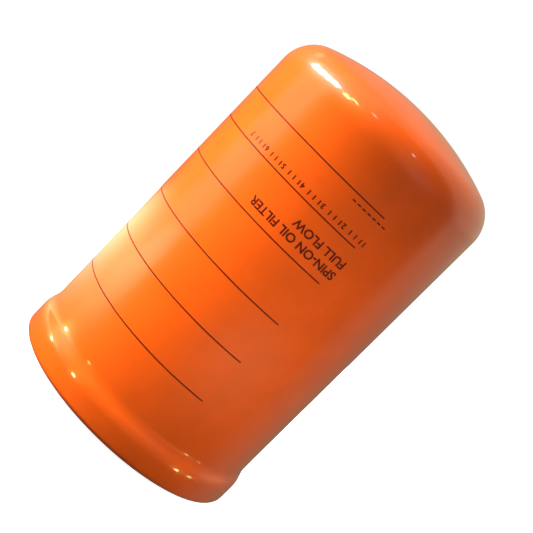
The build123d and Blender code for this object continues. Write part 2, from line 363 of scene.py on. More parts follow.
def turning_tree():
    """Turns an outline, drawn in the XZ plane, about the Z axis."""
    tree, given = new_tree("turned_on_axis", Float=["Path Radius"], Int=["Segments"])
    outline = add(tree, "GeometryNodeMeshToCurve", {"Mesh": given["Geometry"]})
    outward = add(tree, "ShaderNodeMath", {0: given["Path Radius"], 1: -1.0}, operation="MULTIPLY")
    shift = add(tree, "ShaderNodeCombineXYZ", {"X": outward})
    section = add(tree, "GeometryNodeTransform", {"Geometry": outline, "Translation": shift})
    laid = add(tree, "GeometryNodeTransform", {"Geometry": section, "Rotation": (pi / 2, 0.0, 0.0)})
    circle = add(
        tree,
        "GeometryNodeCurvePrimitiveCircle",
        {"Resolution": given["Segments"], "Radius": given["Path Radius"]},
    )
    swept = add(tree, "GeometryNodeCurveToMesh", {"Curve": circle, "Profile Curve": laid})
    return end_tree(tree, swept, given["Material"])


def turned(name, outline, material, segments=128, sharp=35.0):
    """A piece turned about the axis from a closed (radius, height) outline."""
    start = bpy.data.meshes.new(name + "_outline")
    edges = [(i, (i + 1) % len(outline)) for i in range(len(outline))]
    start.from_pydata([(r, 0, z) for r, z in outline], edges, [])
    sizes = {"Path Radius": 50 * MM, "Segments": segments, "Material": material}
    return tidied(grown(name, trees["turning"], sizes, start), sharp=sharp)


def strip_tree():
    """Runs a thin printed strip round the wall at the height of each point."""
    tree, given = new_tree("printed_lines", Float=["Radius", "Width", "Film", "End", "Sweep"])
    path = add(
        tree,
        "GeometryNodeCurveArc",
        {
            "Resolution": 240,
            "Radius": given["Radius"],
            "Start Angle": given["End"],
            "Sweep Angle": given["Sweep"],
        },
        mode="RADIUS",
    )
    section = add(
        tree, "GeometryNodeCurvePrimitiveQuadrilateral", {"Width": given["Film"], "Height": given["Width"]}
    )
    strip = add(
        tree, "GeometryNodeCurveToMesh", {"Curve": path, "Profile Curve": section, "Fill Caps": True}
    )
    copies = add(tree, "GeometryNodeInstanceOnPoints", {"Points": given["Geometry"], "Instance": strip})
    return end_tree(tree, copies, given["Material"])


def wrapping_tree():
    """Wraps flat printing round the wall; x runs towards -X, y towards the foot and z outwards."""
    tree, given = new_tree("printing_on_wall", Float=["Radius", "Start", "Height"])
    place = add(tree, "GeometryNodeInputPosition")
    flat = add(tree, "ShaderNodeSeparateXYZ", {0: place})
    along = add(tree, "ShaderNodeMath", {0: flat.outputs["X"], 1: given["Radius"]}, operation="DIVIDE")
    angle = add(tree, "ShaderNodeMath", {0: given["Start"], 1: along}, operation="SUBTRACT")
    reach = add(tree, "ShaderNodeMath", {0: given["Radius"], 1: flat.outputs["Z"]}, operation="ADD")
    back = add(tree, "ShaderNodeMath", {0: reach, 1: -1.0}, operation="MULTIPLY")
    sine = add(tree, "ShaderNodeMath", {0: angle}, operation="SINE")
    cosine = add(tree, "ShaderNodeMath", {0: angle}, operation="COSINE")
    x = add(tree, "ShaderNodeMath", {0: reach, 1: sine}, operation="MULTIPLY")
    y = add(tree, "ShaderNodeMath", {0: back, 1: cosine}, operation="MULTIPLY")
    z = add(tree, "ShaderNodeMath", {0: given["Height"], 1: flat.outputs["Y"]}, operation="SUBTRACT")
    wrapped = add(tree, "ShaderNodeCombineXYZ", {"X": x, "Y": y, "Z": z})
    moved = add(tree, "GeometryNodeSetPosition", {"Geometry": given["Geometry"], "Position": wrapped})
    return end_tree(tree, moved, given["Material"])


def tick_tree():
    """Sets out upright marks side by side on a flat row."""
    tree, given = new_tree(
        "index_marks", Int=["Count", "Every"], Float=["Spacing"], Vector=["Mark"], Bool=["Gaps"]
    )
    step = add(tree, "ShaderNodeCombineXYZ", {"X": given["Spacing"]})
    row = add(tree, "GeometryNodeMeshLine", {"Count": given["Count"], "Offset": step}, mode="OFFSET")
    index = add(tree, "GeometryNodeInputIndex")
    turn_of = add(tree, "ShaderNodeMath", {0: index, 1: given["Every"]}, operation="MODULO")
    numbered = add(tree, "ShaderNodeMath", {0: turn_of, 1: 0.5}, operation="LESS_THAN")
    gap = add(tree, "ShaderNodeMath", {0: numbered, 1: given["Gaps"]}, operation="MULTIPLY")
    kept = add(tree, "ShaderNodeMath", {0: 1.0, 1: gap}, operation="SUBTRACT")
    mark = add(tree, "GeometryNodeMeshCube", {"Size": given["Mark"]})
    copies = add(tree, "GeometryNodeInstanceOnPoints", {"Points": row, "Instance": mark, "Selection": kept})
    return end_tree(tree, copies, given["Material"])


def coil_tree():
    """Winds a wire into a coil whose end turns lie flat."""
    tree, given = new_tree(
        "wound_wire", Float=["Radius", "Wire", "Turns", "Dead", "Foot", "Top"], Int=["Steps", "Sides"]
    )
    spiral = add(
        tree,
        "GeometryNodeCurveSpiral",
        {
            "Resolution": given["Steps"],
            "Rotations": given["Turns"],
            "Start Radius": given["Radius"],
            "End Radius": given["Radius"],
            "Height": 0.0,
        },
    )
    along = add(tree, "GeometryNodeSplineParameter")
    dead = add(tree, "ShaderNodeMath", {0: given["Dead"], 1: given["Turns"]}, operation="DIVIDE")
    alive = add(tree, "ShaderNodeMath", {0: 1.0, 1: dead}, operation="SUBTRACT")
    rise = add(
        tree,
        "ShaderNodeMapRange",
        {
            "Value": along,
            "From Min": dead,
            "From Max": alive,
            "To Min": given["Foot"],
            "To Max": given["Top"],
        },
    )
    lift = add(tree, "ShaderNodeCombineXYZ", {"Z": rise})
    path = add(tree, "GeometryNodeSetPosition", {"Geometry": spiral, "Offset": lift})
    section = add(
        tree, "GeometryNodeCurvePrimitiveCircle", {"Resolution": given["Sides"], "Radius": given["Wire"]}
    )
    wire = add(
        tree, "GeometryNodeCurveToMesh", {"Curve": path, "Profile Curve": section, "Fill Caps": True}
    )
    return end_tree(tree, wire, given["Material"])


def pleat_tree():
    """Sets one fold after another round the axis and draws their line up into a wall of paper."""
    tree, given = new_tree("folded_paper", Int=["Pleats"], Float=["First", "Foot", "Top"])
    still = (0.0, 0.0, 0.0)
    points = add(tree, "GeometryNodeMeshLine", {"Count": given["Pleats"], "Offset": still}, mode="OFFSET")
    index = add(tree, "GeometryNodeInputIndex")
    share = add(tree, "ShaderNodeMath", {0: index, 1: given["Pleats"]}, operation="DIVIDE")
    angle = add(tree, "ShaderNodeMath", {0: share, 1: 2 * pi, 2: given["First"]}, operation="MULTIPLY_ADD")
    spin = add(tree, "ShaderNodeCombineXYZ", {"Z": angle})
    folds = add(
        tree,
        "GeometryNodeInstanceOnPoints",
        {"Points": points, "Instance": given["Geometry"], "Rotation": spin},
    )
    real = add(tree, "GeometryNodeRealizeInstances", {"Geometry": folds})
    line = add(tree, "GeometryNodeMergeByDistance", {"Geometry": real, "Distance": 0.01 * MM})
    foot = add(tree, "ShaderNodeCombineXYZ", {"Z": given["Foot"]})
    edge = add(tree, "GeometryNodeSetPosition", {"Geometry": line, "Offset": foot})
    height = add(tree, "ShaderNodeMath", {0: given["Top"], 1: given["Foot"]}, operation="SUBTRACT")
    rise = add(tree, "ShaderNodeCombineXYZ", {"Z": height})
    wall = add(
        tree, "GeometryNodeExtrudeMesh", {"Mesh": edge, "Offset": rise, "Offset Scale": 1.0}, mode="EDGES"
    )
    return end_tree(tree, wall, given["Material"])


def tube_tree():
    """Lays perforated tiles in staggered rows and rolls them into a tube."""
    tree, given = new_tree(
        "perforated_tube", Int=["Rows", "Columns"], Float=["Width", "Height", "Foot", "Radius"]
    )
    total = add(tree, "ShaderNodeMath", {0: given["Rows"], 1: given["Columns"]}, operation="MULTIPLY")
    points = add(tree, "GeometryNodeMeshLine", {"Count": total}, mode="OFFSET")
    index = add(tree, "GeometryNodeInputIndex")
    column = add(tree, "ShaderNodeMath", {0: index, 1: given["Columns"]}, operation="MODULO")
    part = add(tree, "ShaderNodeMath", {0: index, 1: given["Columns"]}, operation="DIVIDE")
    row = add(tree, "ShaderNodeMath", {0: part}, operation="FLOOR")
    odd = add(tree, "ShaderNodeMath", {0: row, 1: 2.0}, operation="MODULO")
    shift = add(tree, "ShaderNodeMath", {0: odd, 1: 0.5, 2: column}, operation="MULTIPLY_ADD")
    x = add(tree, "ShaderNodeMath", {0: shift, 1: given["Width"]}, operation="MULTIPLY")
    middle = add(tree, "ShaderNodeMath", {0: row, 1: 0.5}, operation="ADD")
    y = add(
        tree, "ShaderNodeMath", {0: middle, 1: given["Height"], 2: given["Foot"]}, operation="MULTIPLY_ADD"
    )
    spot = add(tree, "ShaderNodeCombineXYZ", {"X": x, "Y": y})
    grid = add(tree, "GeometryNodeSetPosition", {"Geometry": points, "Position": spot})
    copies = add(tree, "GeometryNodeInstanceOnPoints", {"Points": grid, "Instance": given["Geometry"]})
    real = add(tree, "GeometryNodeRealizeInstances", {"Geometry": copies})
    place = add(tree, "GeometryNodeInputPosition")
    flat = add(tree, "ShaderNodeSeparateXYZ", {0: place})
    angle = add(tree, "ShaderNodeMath", {0: flat.outputs["X"], 1: given["Radius"]}, operation="DIVIDE")
    sine = add(tree, "ShaderNodeMath", {0: angle}, operation="SINE")
    cosine = add(tree, "ShaderNodeMath", {0: angle}, operation="COSINE")
    round_x = add(tree, "ShaderNodeMath", {0: cosine, 1: given["Radius"]}, operation="MULTIPLY")
    round_y = add(tree, "ShaderNodeMath", {0: sine, 1: given["Radius"]}, operation="MULTIPLY")
    rolled = add(tree, "ShaderNodeCombineXYZ", {"X": round_x, "Y": round_y, "Z": flat.outputs["Y"]})
    tube = add(tree, "GeometryNodeSetPosition", {"Geometry": real, "Position": rolled})
    return end_tree(tree, tube, given["Material"])


trees = {
    "turning": turning_tree(),
    "lines": strip_tree(),
    "wrapping": wrapping_tree(),
    "marks": tick_tree(),
    "coil": coil_tree(),
    "pleats": pleat_tree(),
    "tube": tube_tree(),
}


# ---- finishes -----------------------------------------------------------------------------


def emptied(block):
    """Give a material or world an empty node tree."""
    block.use_nodes = True
    block.node_tree.nodes.clear()
    return block.node_tree


def surface(name, inputs):
    """A principled material with its constants set on the shader; returns it, its tree and its shader."""
    material = bpy.data.materials.new(name)
    tree = emptied(material)
    shader = add(tree, "ShaderNodeBsdfPrincipled", inputs)
    add(tree, "ShaderNodeOutputMaterial", {"Surface": shader})
    return material, tree, shader


def grain(tree, size, detail=3.0, stretch=(1.0, 1.0, 1.0)):
    """Noise on Object coordinates whose grains are about size metres across."""
    place = add(tree, "ShaderNodeTexCoord")
    mapped = add(tree, "ShaderNodeMapping", {"Vector": place.outputs["Object"], "Scale": stretch})
    noise = add(tree, "ShaderNodeTexNoise", {"Vector": mapped, "Scale": 1 / size, "Detail": detail})
    return noise.outputs["Fac"]


def tinted(tree, shader, share, low, high):
    """Vary the base colour between two linear colours as share goes from 0.35 to 0.65."""
    ramp = add(tree, "ShaderNodeValToRGB", {"Fac": share})
    ramp.color_ramp.elements[0].position = 0.35
    ramp.color_ramp.elements[1].position = 0.65
    ramp.color_ramp.elements[0].color = (*low, 1)
    ramp.color_ramp.elements[1].color = (*high, 1)
    tree.links.new(ramp.outputs["Color"], shader.inputs["Base Color"])


def roughened(tree, shader, share, low, high):
    """Vary the roughness from low to high as share goes from 0.3 to 0.7."""
    spread = add(
        tree,
        "ShaderNodeMapRange",
        {"Value": share, "From Min": 0.3, "From Max": 0.7, "To Min": low, "To Max": high},
    )
    tree.links.new(spread.outputs[0], shader.inputs["Roughness"])


def raised(tree, shader, share, height):
    """Bump the surface by height metres where share is 1."""
    bump = add(tree, "ShaderNodeBump", {"Height": share, "Distance": height})
    tree.links.new(bump.outputs[0], shader.inputs["Normal"])
    return bump


def shade(rgb, factor):
    """A colour made darker or lighter."""
    return tuple(min(1.0, c * factor) for c in rgb)


def stoved_enamel(rgb):
    """Sprayed and baked enamel on drawn steel: full gloss, with a faint orange peel."""
    material, tree, shader = surface(
        "stoved_enamel",
        {"Roughness": 0.34, "IOR": 1.5, "Coat Weight": 1.0, "Coat Roughness": 0.06, "Coat IOR": 1.5},
    )
    # the peel of sprayed enamel is about 1.5 mm from crest to crest and a few microns deep
    peel = grain(tree, 1.5 * MM, 2.0)
    bump = raised(tree, shader, peel, 0.006 * MM)
    tree.links.new(bump.outputs[0], shader.inputs["Coat Normal"])
    tinted(tree, shader, grain(tree, 14 * MM, 3.0), shade(rgb, 0.96), shade(rgb, 1.04))
    return material


def printing_ink(rgb):
    """Screen ink, thin and half gloss, slightly uneven where it was squeezed through the mesh."""
    material, tree, shader = surface("printing_ink", {"Roughness": 0.45, "IOR": 1.4})
    # the screen's mesh is about 0.12 mm, drawn at 0.3 mm so that it shows
    tinted(tree, shader, grain(tree, 0.3 * MM, 2.0), shade(rgb, 0.85), shade(rgb, 1.2))
    raised(tree, shader, grain(tree, 0.3 * MM, 2.0), 0.004 * MM)
    return material


def zinc_plate():
    """Zinc plated and passivated sheet steel: soft shine with a faint yellow and blue bloom."""
    material, tree, shader = surface("zinc_plated_steel", {"Metallic": 1.0, "Roughness": 0.3})
    tinted(tree, shader, grain(tree, 9 * MM, 4.0), linear("#b9b7a4"), linear("#cfcec9"))
    roughened(tree, shader, grain(tree, 3 * MM), 0.24, 0.38)
    raised(tree, shader, grain(tree, 0.6 * MM), 0.004 * MM)
    return material


def turned_steel():
    """Machined and lightly oiled steel: fine rings left by the tool, 0.2 mm apart."""
    material, tree, shader = surface("turned_steel", {"Metallic": 1.0, "Roughness": 0.32})
    place = add(tree, "ShaderNodeTexCoord")
    rings = add(
        tree,
        "ShaderNodeTexWave",
        {"Vector": place.outputs["Object"], "Scale": 1 / (0.2 * MM) / 20, "Distortion": 0.4, "Detail": 1.0},
        wave_type="RINGS",
        rings_direction="Z",
    )
    tinted(tree, shader, grain(tree, 6 * MM), linear("#8d8c89"), linear("#a9a8a5"))
    roughened(tree, shader, grain(tree, 2 * MM), 0.26, 0.42)
    raised(tree, shader, rings.outputs["Fac"], 0.004 * MM)
    return material


def tinplate():
    """Bright rolled tinplate with the grain of rolling along the axis."""
    material, tree, shader = surface("rolled_tinplate", {"Metallic": 1.0, "Roughness": 0.25})
    # rolling lines run the length of the sheet, 0.15 mm apart
    lines = grain(tree, 0.15 * MM, 2.0, stretch=(1.0, 1.0, 0.03))
    tinted(tree, shader, grain(tree, 8 * MM), linear("#bdbcb8"), linear("#d4d4d2"))
    roughened(tree, shader, lines, 0.2, 0.34)
    raised(tree, shader, lines, 0.002 * MM)
    return material


def spring_steel():
    """Oil tempered spring wire: dark grey with drawing lines and a thin film of oil."""
    material, tree, shader = surface(
        "oil_tempered_wire", {"Metallic": 1.0, "Roughness": 0.34, "Coat Weight": 0.3, "Coat Roughness": 0.2}
    )
    tinted(tree, shader, grain(tree, 2 * MM), linear("#4f4e52"), linear("#6f6e70"))
    raised(tree, shader, grain(tree, 0.2 * MM), 0.004 * MM)
    return material


def nitrile_rubber():
    """Moulded black nitrile rubber, dusted with talc and smooth where it seals."""
    material, tree, shader = surface("nitrile_rubber", {"Roughness": 0.62, "IOR": 1.52})
    tinted(tree, shader, grain(tree, 5 * MM, 5.0), linear("#151515"), linear("#262625"))
    roughened(tree, shader, grain(tree, 1.5 * MM), 0.5, 0.74)
    raised(tree, shader, grain(tree, 0.25 * MM), 0.01 * MM)
    return material


def silicone_rubber():
    """Moulded brick red silicone rubber: even, with a soft waxy shine."""
    material, tree, shader = surface(
        "silicone_rubber",
        {"Roughness": 0.5, "IOR": 1.41, "Subsurface Weight": 0.1, "Subsurface Scale": 1 * MM},
    )
    tinted(tree, shader, grain(tree, 6 * MM), linear("#a5341f"), linear("#b5422a"))
    raised(tree, shader, grain(tree, 0.4 * MM), 0.006 * MM)
    return material


def seam_compound():
    """Water based sealing compound, dried to a matt grey rubber."""
    material, tree, shader = surface("seam_compound", {"Roughness": 0.7, "IOR": 1.5})
    tinted(tree, shader, grain(tree, 1.5 * MM), linear("#8b867c"), linear("#a39e93"))
    raised(tree, shader, grain(tree, 0.7 * MM), 0.03 * MM)
    return material


def potting_resin():
    """Cast plastisol: amber, flat where it set against the cap, with small bubbles."""
    material, tree, shader = surface("cast_plastisol", {"Roughness": 0.42, "IOR": 1.5})
    tinted(tree, shader, grain(tree, 4 * MM), linear("#b98a3e"), linear("#cb9d50"))
    place = add(tree, "ShaderNodeTexCoord")
    bubbles = add(
        tree, "ShaderNodeTexVoronoi", {"Vector": place.outputs["Object"], "Scale": 1 / (1.8 * MM)}
    )
    raised(tree, shader, bubbles.outputs["Distance"], 0.05 * MM)
    return material


def hot_melt():
    """Hot melt adhesive beads: cream, waxy and slightly lumpy."""
    material, tree, shader = surface(
        "hot_melt_adhesive",
        {"Roughness": 0.38, "IOR": 1.48, "Subsurface Weight": 0.2, "Subsurface Scale": 1 * MM},
    )
    tinted(tree, shader, grain(tree, 3 * MM), linear("#e3d9b4"), linear("#efe7ca"))
    raised(tree, shader, grain(tree, 1.2 * MM), 0.08 * MM)
    return material


def filter_paper():
    """Resin cured cellulose paper: straw coloured fibres with a dry matt surface."""
    material, tree, shader = surface(
        "cured_filter_paper", {"Roughness": 0.85, "IOR": 1.45, "Sheen Weight": 0.15}
    )
    # fibres are about 0.05 mm thick, drawn at 0.2 mm so that they show
    fibres = grain(tree, 0.2 * MM, 5.0, stretch=(1.0, 1.0, 0.25))
    tinted(tree, shader, fibres, linear("#cdae72"), linear("#e6cd97"))
    raised(tree, shader, fibres, 0.04 * MM)
    return material


finishes = {}


def finish_for(name):
    """The material of a given name, made on first use."""
    settings = bpy.context.scene.oil_filter
    makers = {
        "enamel": lambda: stoved_enamel(tuple(settings.can.paint)),
        "ink": lambda: printing_ink(tuple(settings.printing.ink)),
        "zinc": zinc_plate,
        "turned_steel": turned_steel,
        "tinplate": tinplate,
        "wire": spring_steel,
        "nitrile": nitrile_rubber,
        "silicone": silicone_rubber,
        "compound": seam_compound,
        "resin": potting_resin,
        "hot_melt": hot_melt,
        "paper": filter_paper,
    }
    if name not in finishes:
        finishes[name] = makers[name]()
    return finishes[name]


def placed(piece, body, slot, *nodes):
    """Fix a finished piece to its CAD body and hide the CAD nodes that it stands for; the slot is not used.
    """
    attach(piece, body)
    if nodes:
        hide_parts(*nodes)
    return piece


# ---- pieces --------------------------------------------------------------------------------


def can_face(can, foot, inset):
    """One face of the can's sheet as (radius, height) points, from the dome's top to the rolled-in lip."""
    knuckle_r = can.wall_radius - can.knuckle_bend
    gap = can.dish_bend - can.knuckle_bend
    dish_z = can.knuckle_height - sqrt(gap**2 - knuckle_r**2)
    dish_half = degrees(asin(knuckle_r / gap))
    rise, step = can.flare_top - can.seam_top, can.seam_radius - can.wall_radius
    flare = degrees(2 * atan(step / rise))
    flare_bend = rise / (2 * sin(radians(flare)))
    curl_r = can.seam_radius - can.curl_bend
    curl_z = foot + can.curl_bend
    points = arc((0, dish_z), can.dish_bend - inset, 90, -dish_half, 40)
    knuckle = (knuckle_r, can.knuckle_height)
    points += arc(knuckle, can.knuckle_bend - inset, 90 - dish_half, dish_half - 90, 32)[1:]
    points += arc((can.wall_radius + flare_bend, can.flare_top), flare_bend + inset, 180, flare, 10)
    points += arc((can.seam_radius - flare_bend, can.seam_top), flare_bend - inset, flare, -flare, 10)[1:]
    points += arc((curl_r, curl_z), can.curl_bend - inset, 0, -180, 20)
    points.append((curl_r - can.curl_bend + inset, can.lip_top))
    return points


def make_can():
    can = bpy.context.scene.oil_filter.can
    foot = can_low.z
    outline = can_face(can, foot, 0) + can_face(can, foot, can.sheet)[::-1]
    piece = turned("painted_can", outline, finish_for("enamel"), can.segments, sharp=50.0)
    return placed(piece, "can", "orange_paint", "can_shell")


def make_lines():
    settings = bpy.context.scene.oil_filter
    printing, wall = settings.printing, settings.can.wall_radius
    start = bpy.data.meshes.new("line_heights")
    start.from_pydata([(0, 0, z) for z in printing.heights], [], [])
    # the arc is drawn from +X, and the front of the can is at -90 degrees
    sizes = {
        "Radius": wall,
        "Width": printing.line_width,
        "Film": 2 * printing.ink_film,
        "End": radians(-90) + printing.line_end,
        "Sweep": -printing.line_sweep,
        "Material": finish_for("ink"),
    }
    piece = tidied(grown("printed_lines", trees["lines"], sizes, start))
    return placed(piece, "can", "orange_paint")


def written(text, height, bold, film):
    """Flat lettering as a mesh, with capitals of that height, in the plain built-in font made bolder."""
    curve = bpy.data.curves.new(text, "FONT")
    curve.body = text
    curve.size = height / 0.69  # capitals are 0.69 of the font's size
    curve.offset = bold
    curve.extrude = film
    curve.resolution_u = 4
    holder = bpy.data.objects.new(text, curve)
    bpy.context.scene.collection.objects.link(holder)
    bpy.context.view_layer.update()
    mesh = bpy.data.meshes.new_from_object(holder.evaluated_get(bpy.context.evaluated_depsgraph_get()))
    bpy.data.objects.remove(holder)
    return mesh


def make_row(name, mesh, start, height):
    """Wrap flat printing round the wall and fix it to the can."""
    settings = bpy.context.scene.oil_filter
    sizes = {
        "Radius": settings.can.wall_radius, "Start": start, "Height": height, "Material": finish_for("ink")
    }
    piece = tidied(grown(name, trees["wrapping"], sizes, mesh))
    return placed(piece, "can", "orange_paint")


def make_marks(name, count, spacing, mark, start, height, every):
    """A row of index marks wrapped round the wall, with every so many left out for a number."""
    sizes = {"Count": count, "Spacing": spacing, "Mark": mark, "Every": max(every, 1), "Gaps": bool(every)}
    flat = grown(name + "_flat", trees["marks"], sizes)
    mesh = flat.data
    bpy.data.objects.remove(flat)
    return make_row(name, mesh, start, height)


def make_lettering():
    printing = bpy.context.scene.oil_filter.printing
    start, film, bold = printing.text_start, printing.ink_film, printing.bold
    for name, text, height in (
        ("large_lettering", printing.large_text, printing.large_height),
        ("middle_lettering", printing.middle_text, printing.middle_height),
    ):
        make_row(name, written(text, printing.capitals, bold, film), start, height)
    spacing, every = printing.mark_spacing, printing.mark_group
    numbers = bpy.data.meshes.new("numbers")
    work = bmesh.new()
    for i in range(printing.mark_count // every + 1):
        digit = written(str(i + 1), printing.mark_height, bold, film)
        digit.transform(Matrix.Translation((i * every * spacing, 0, 0)))
        work.from_mesh(digit)
    work.to_mesh(numbers)
    work.free()
    make_row("index_numbers", numbers, start, printing.index_height)
    mark = (2 * bold + printing.mark_stroke, printing.mark_height, 2 * film)
    middle = printing.index_height - printing.mark_height / 2
    make_marks("index_marks", printing.mark_count, spacing, mark, start, middle, every)
    dash = (printing.dash_length, printing.dash_stroke, 2 * film)
    dashes, spacing, middle = printing.dash_count, printing.dash_spacing, printing.dash_height
    make_marks("short_dashes", dashes, spacing, dash, start, middle, 0)


def ring_corners(inner, low, high):
    """The section of a plain ring, from its inside radius and the corners of its box."""
    return [(inner, low.z), (high.x, low.z), (high.x, high.z), (inner, high.z)]


def gasket_low_radius():
    """The inside radius of the gasket, read from the CAD node."""
    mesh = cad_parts["mounting_gasket"].data
    return min(hypot(v.co.x, v.co.y) for v in mesh.vertices)


def make_lid():
    settings = bpy.context.scene.oil_filter
    can, base = settings.can, settings.base
    half, play = base.lid_sheet / 2, base.hook_play
    lip_in = can.seam_radius - 2 * can.curl_bend
    channel_in, channel_out = gasket_low_radius() - play, gasket_high.x + play
    flat, roof = lid_low.z + half, gasket_high.z + half
    over = can.lip_top + play + base.lid_sheet
    wall, hook = lip_in - play - half, lip_in + can.sheet + play + half
    points = [
        (channel_in - half, lid_low.z + half),
        (channel_in - half, roof),
        (channel_out + half, roof),
        (channel_out + half, flat),
        (wall, flat),
        (wall, over),
        (hook, over),
        (hook, can_low.z + 2 * can.curl_bend),
    ]
    outline = sheet_outline(points, base.lid_sheet, base.lid_bend)
    piece = turned("pressed_lid", outline, finish_for("zinc"), 192)
    return placed(piece, "can", "zinc_plate", "seam_lid")


def make_gasket():
    base = bpy.context.scene.oil_filter.base
    corners = ring_corners(gasket_low_radius(), gasket_low, gasket_high)
    piece = turned("ring_gasket", rounded(corners, base.gasket_round), finish_for("nitrile"), 192)
    return placed(piece, "can", "gasket_rubber", "mounting_gasket")


def make_plate():
    base = bpy.context.scene.oil_filter.base
    foot, top = plate_low.z, plate_high.z
    deck = foot + base.plate_thickness
    rim, edge, lead = plate_high.x, base.plate_edge, base.thread_lead
    outline = [
        (base.thread_major + lead / 2, foot),
        (rim - edge, foot),
        (rim, foot + edge),
        (rim, deck - edge),
        (rim - edge, deck),
        *arc((base.neck_radius + lead, deck + lead), lead, 270, -90, 6),
        (base.neck_radius, top - base.neck_edge),
        (base.neck_radius - base.neck_edge, top),
        (base.thread_major + lead / 2, top),
        (base.thread_major, top - lead / 2),
        (base.thread_major, foot + lead / 2),
    ]
    plate = turned("threaded_plate", outline, finish_for("turned_steel"), 128)
    drilled(plate, base, deck)
    sizes = {
        "Radius": base.thread_major,
        "Wire": base.thread_major - base.thread_minor,
        "Turns": (top - foot - 2 * lead) / base.thread_pitch,
        "Dead": 0.0,
        "Foot": foot + lead,
        "Top": top - lead,
        "Steps": 64,
        "Sides": 3,
        "Material": finish_for("turned_steel"),
    }
    thread = tidied(grown("thread", trees["coil"], sizes))
    joined(plate, thread)
    return placed(plate, "can", "plate_steel", "thread_plate")


def drilled(plate, base, deck):
    """Cut the ring of oil inlets through the plate."""
    work = bmesh.new()
    for i in range(base.inlet_count):
        angle = 2 * pi * i / base.inlet_count
        middle = Vector((cos(angle), sin(angle), 0)) * base.inlet_pitch_radius
        middle.z = (plate_low.z + deck) / 2
        bmesh.ops.create_cone(
            work,
            cap_ends=True,
            segments=48,
            radius1=base.inlet_radius,
            radius2=base.inlet_radius,
            depth=2 * base.plate_thickness,
            matrix=Matrix.Translation(middle),
        )
    mesh = bpy.data.meshes.new("drills")
    work.to_mesh(mesh)
    work.free()
    drills = bpy.data.objects.new("drills", mesh)
    bpy.context.scene.collection.objects.link(drills)
    cut = plate.modifiers.new("inlets", "BOOLEAN")
    cut.operation, cut.object, cut.solver = "DIFFERENCE", drills, "EXACT"
    edge = plate.modifiers.new("edges", "BEVEL")
    edge.width, edge.segments, edge.limit_method = base.inlet_edge, 2, "ANGLE"
    edge.angle_limit = radians(60)
    applied(plate)
    bpy.data.objects.remove(drills)


def make_sealant():
    base = bpy.context.scene.oil_filter.base
    low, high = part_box("seam_sealant")
    outline = rounded(ring_corners(high.x - base.sealant_width, low, high), base.sealant_round)
    piece = turned("seam_compound_ring", outline, finish_for("compound"), 128)
    return placed(piece, "can", "seam_compound", "seam_sealant")


def make_drainback_valve():
    valve = bpy.context.scene.oil_filter.valve
    boot, flange = valve.cuff_outside, cuff_high.z - valve.flange
    corners = [
        (valve.cuff_inside, cuff_low.z),
        (boot, cuff_low.z),
        (boot, flange),
        (cuff_high.x, flange),
        (cuff_high.x, cuff_high.z),
        (valve.cuff_inside, cuff_high.z),
    ]
    cuff = turned("valve_cuff", rounded(corners, valve.cuff_round), finish_for("silicone"))
    placed(cuff, "can", "valve_rubber", "drainback_cuff")
    root, land, thick = boot + valve.lip_gap, flap_high.x - valve.lip_land, valve.lip_thickness
    corners = [
        (root, flap_high.z - thick),
        (land, flap_low.z),
        (flap_high.x, flap_low.z),
        (flap_high.x, flap_low.z + thick),
        (land, flap_low.z + thick),
        (root, flap_high.z),
    ]
    flap = turned("valve_flap", rounded(corners, valve.lip_round), finish_for("silicone"))
    return placed(flap, "drainback_valve", "valve_rubber", "drainback_flap")


def fold_line(element, inner, outer):
    """The middle line of one fold across +X, from the bottom of one valley to the next."""
    half_step = 180 / element.pleats
    valley, crest = element.inner_fold, element.outer_fold
    valley_middle = Matrix.Rotation(radians(-half_step), 2) @ Vector((inner + valley, 0))
    crest_middle = Vector((outer - crest, 0))
    run = crest_middle - valley_middle
    lean = degrees(atan2(run.y, run.x) - asin((valley + crest) / run.length))
    line = arc(valley_middle, valley, 180 - half_step, lean + half_step - 90, 4)
    line += arc(crest_middle, crest, lean - 90, 90 - lean, 4)
    line += [(x, -y) for x, y in line[-2::-1]]
    mesh = bpy.data.meshes.new("fold_line")
    mesh.from_pydata([(x, y, 0) for x, y in line], [(i, i + 1) for i in range(len(line) - 1)], [])
    return mesh


def make_pleats():
    element = bpy.context.scene.oil_filter.element
    half = element.paper / 2
    clip = (clip_low + clip_high) / 2
    sizes = {
        "Pleats": element.pleats,
        "First": atan2(clip.y, clip.x),
        "Foot": media_low.z,
        "Top": media_high.z,
        "Material": finish_for("paper"),
    }
    line = fold_line(element, element.pleat_inside + half, media_high.x - half)
    piece = grown("folded_paper", trees["pleats"], sizes, line)
    skin = piece.modifiers.new("paper", "SOLIDIFY")
    skin.thickness, skin.offset = element.paper, 0.0
    tidied(applied(piece), sharp=60.0)
    return placed(piece, "element", "filter_paper", "pleated_media")


def perforated_tile(width, height, hole, sides):
    """A flat tile with a round hole, as a mesh whose rim has evenly spaced points."""
    across, up = width / 2, height / 2
    quarter = sides // 4
    rim = []
    for i in range(sides):
        side, step = divmod(i, quarter)
        share = 2 * step / quarter - 1
        edges = ((across, share * up), (-share * across, up), (-across, -share * up), (share * across, -up))
        rim.append(edges[side])
    ring = [(x / hypot(x, y) * hole, y / hypot(x, y) * hole) for x, y in rim]
    mesh = bpy.data.meshes.new("perforated_tile")
    faces = [(i, (i + 1) % sides, sides + (i + 1) % sides, sides + i) for i in range(sides)]
    mesh.from_pydata([(x, y, 0) for x, y in rim + ring], [], faces)
    return mesh


